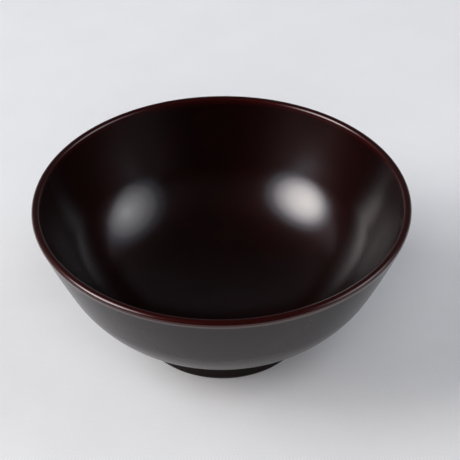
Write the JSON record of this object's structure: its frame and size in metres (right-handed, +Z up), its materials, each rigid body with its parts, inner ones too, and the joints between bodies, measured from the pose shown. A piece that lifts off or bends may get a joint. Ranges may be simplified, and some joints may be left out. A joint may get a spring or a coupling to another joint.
{
  "type": "lacquered wooden soup bowl",
  "caption": "Round open soup bowl with flaring sides, a full-round lip and a low ring foot: turned wood under cloth, ground, a red coat and a glossy see-through brown coat.",
  "frame": {"origin": "middle of the foot ring, on the plane that the bowl stands on", "axes": "+Z up along the axis that the bowl was turned on, towards the open mouth; +Y away from the picture's camera and +X to its right, which the round bowl itself doesn't fix"},
  "size_m": [0.125, 0.125, 0.0554],
  "materials": {
    "turned_wood": "fine turned, bare",
    "hemp_cloth": "plain weave soaked in lacquer",
    "clay_ground": "rubbed matte",
    "red_lacquer": "rubbed satin",
    "brown_lacquer": "glossy, seen through to the red coat as a deep red-brown",
    "lip_lacquer": "glossy and thin, so the red coat shows"
  },
  "bodies": {
    "root": {"wood_core": "turned_wood", "lip_cloth": "hemp_cloth", "floor_cloth": "hemp_cloth", "foot_cloth": "hemp_cloth", "outside_ground": "clay_ground", "inside_ground": "clay_ground", "outside_red_coat": "red_lacquer", "inside_red_coat": "red_lacquer", "outside_top_coat": "brown_lacquer", "inside_top_coat": "brown_lacquer", "lip_coat": "lip_lacquer", "well_coat": "brown_lacquer", "foot_edge_coat": "brown_lacquer"}
  },
  "joints": []
}
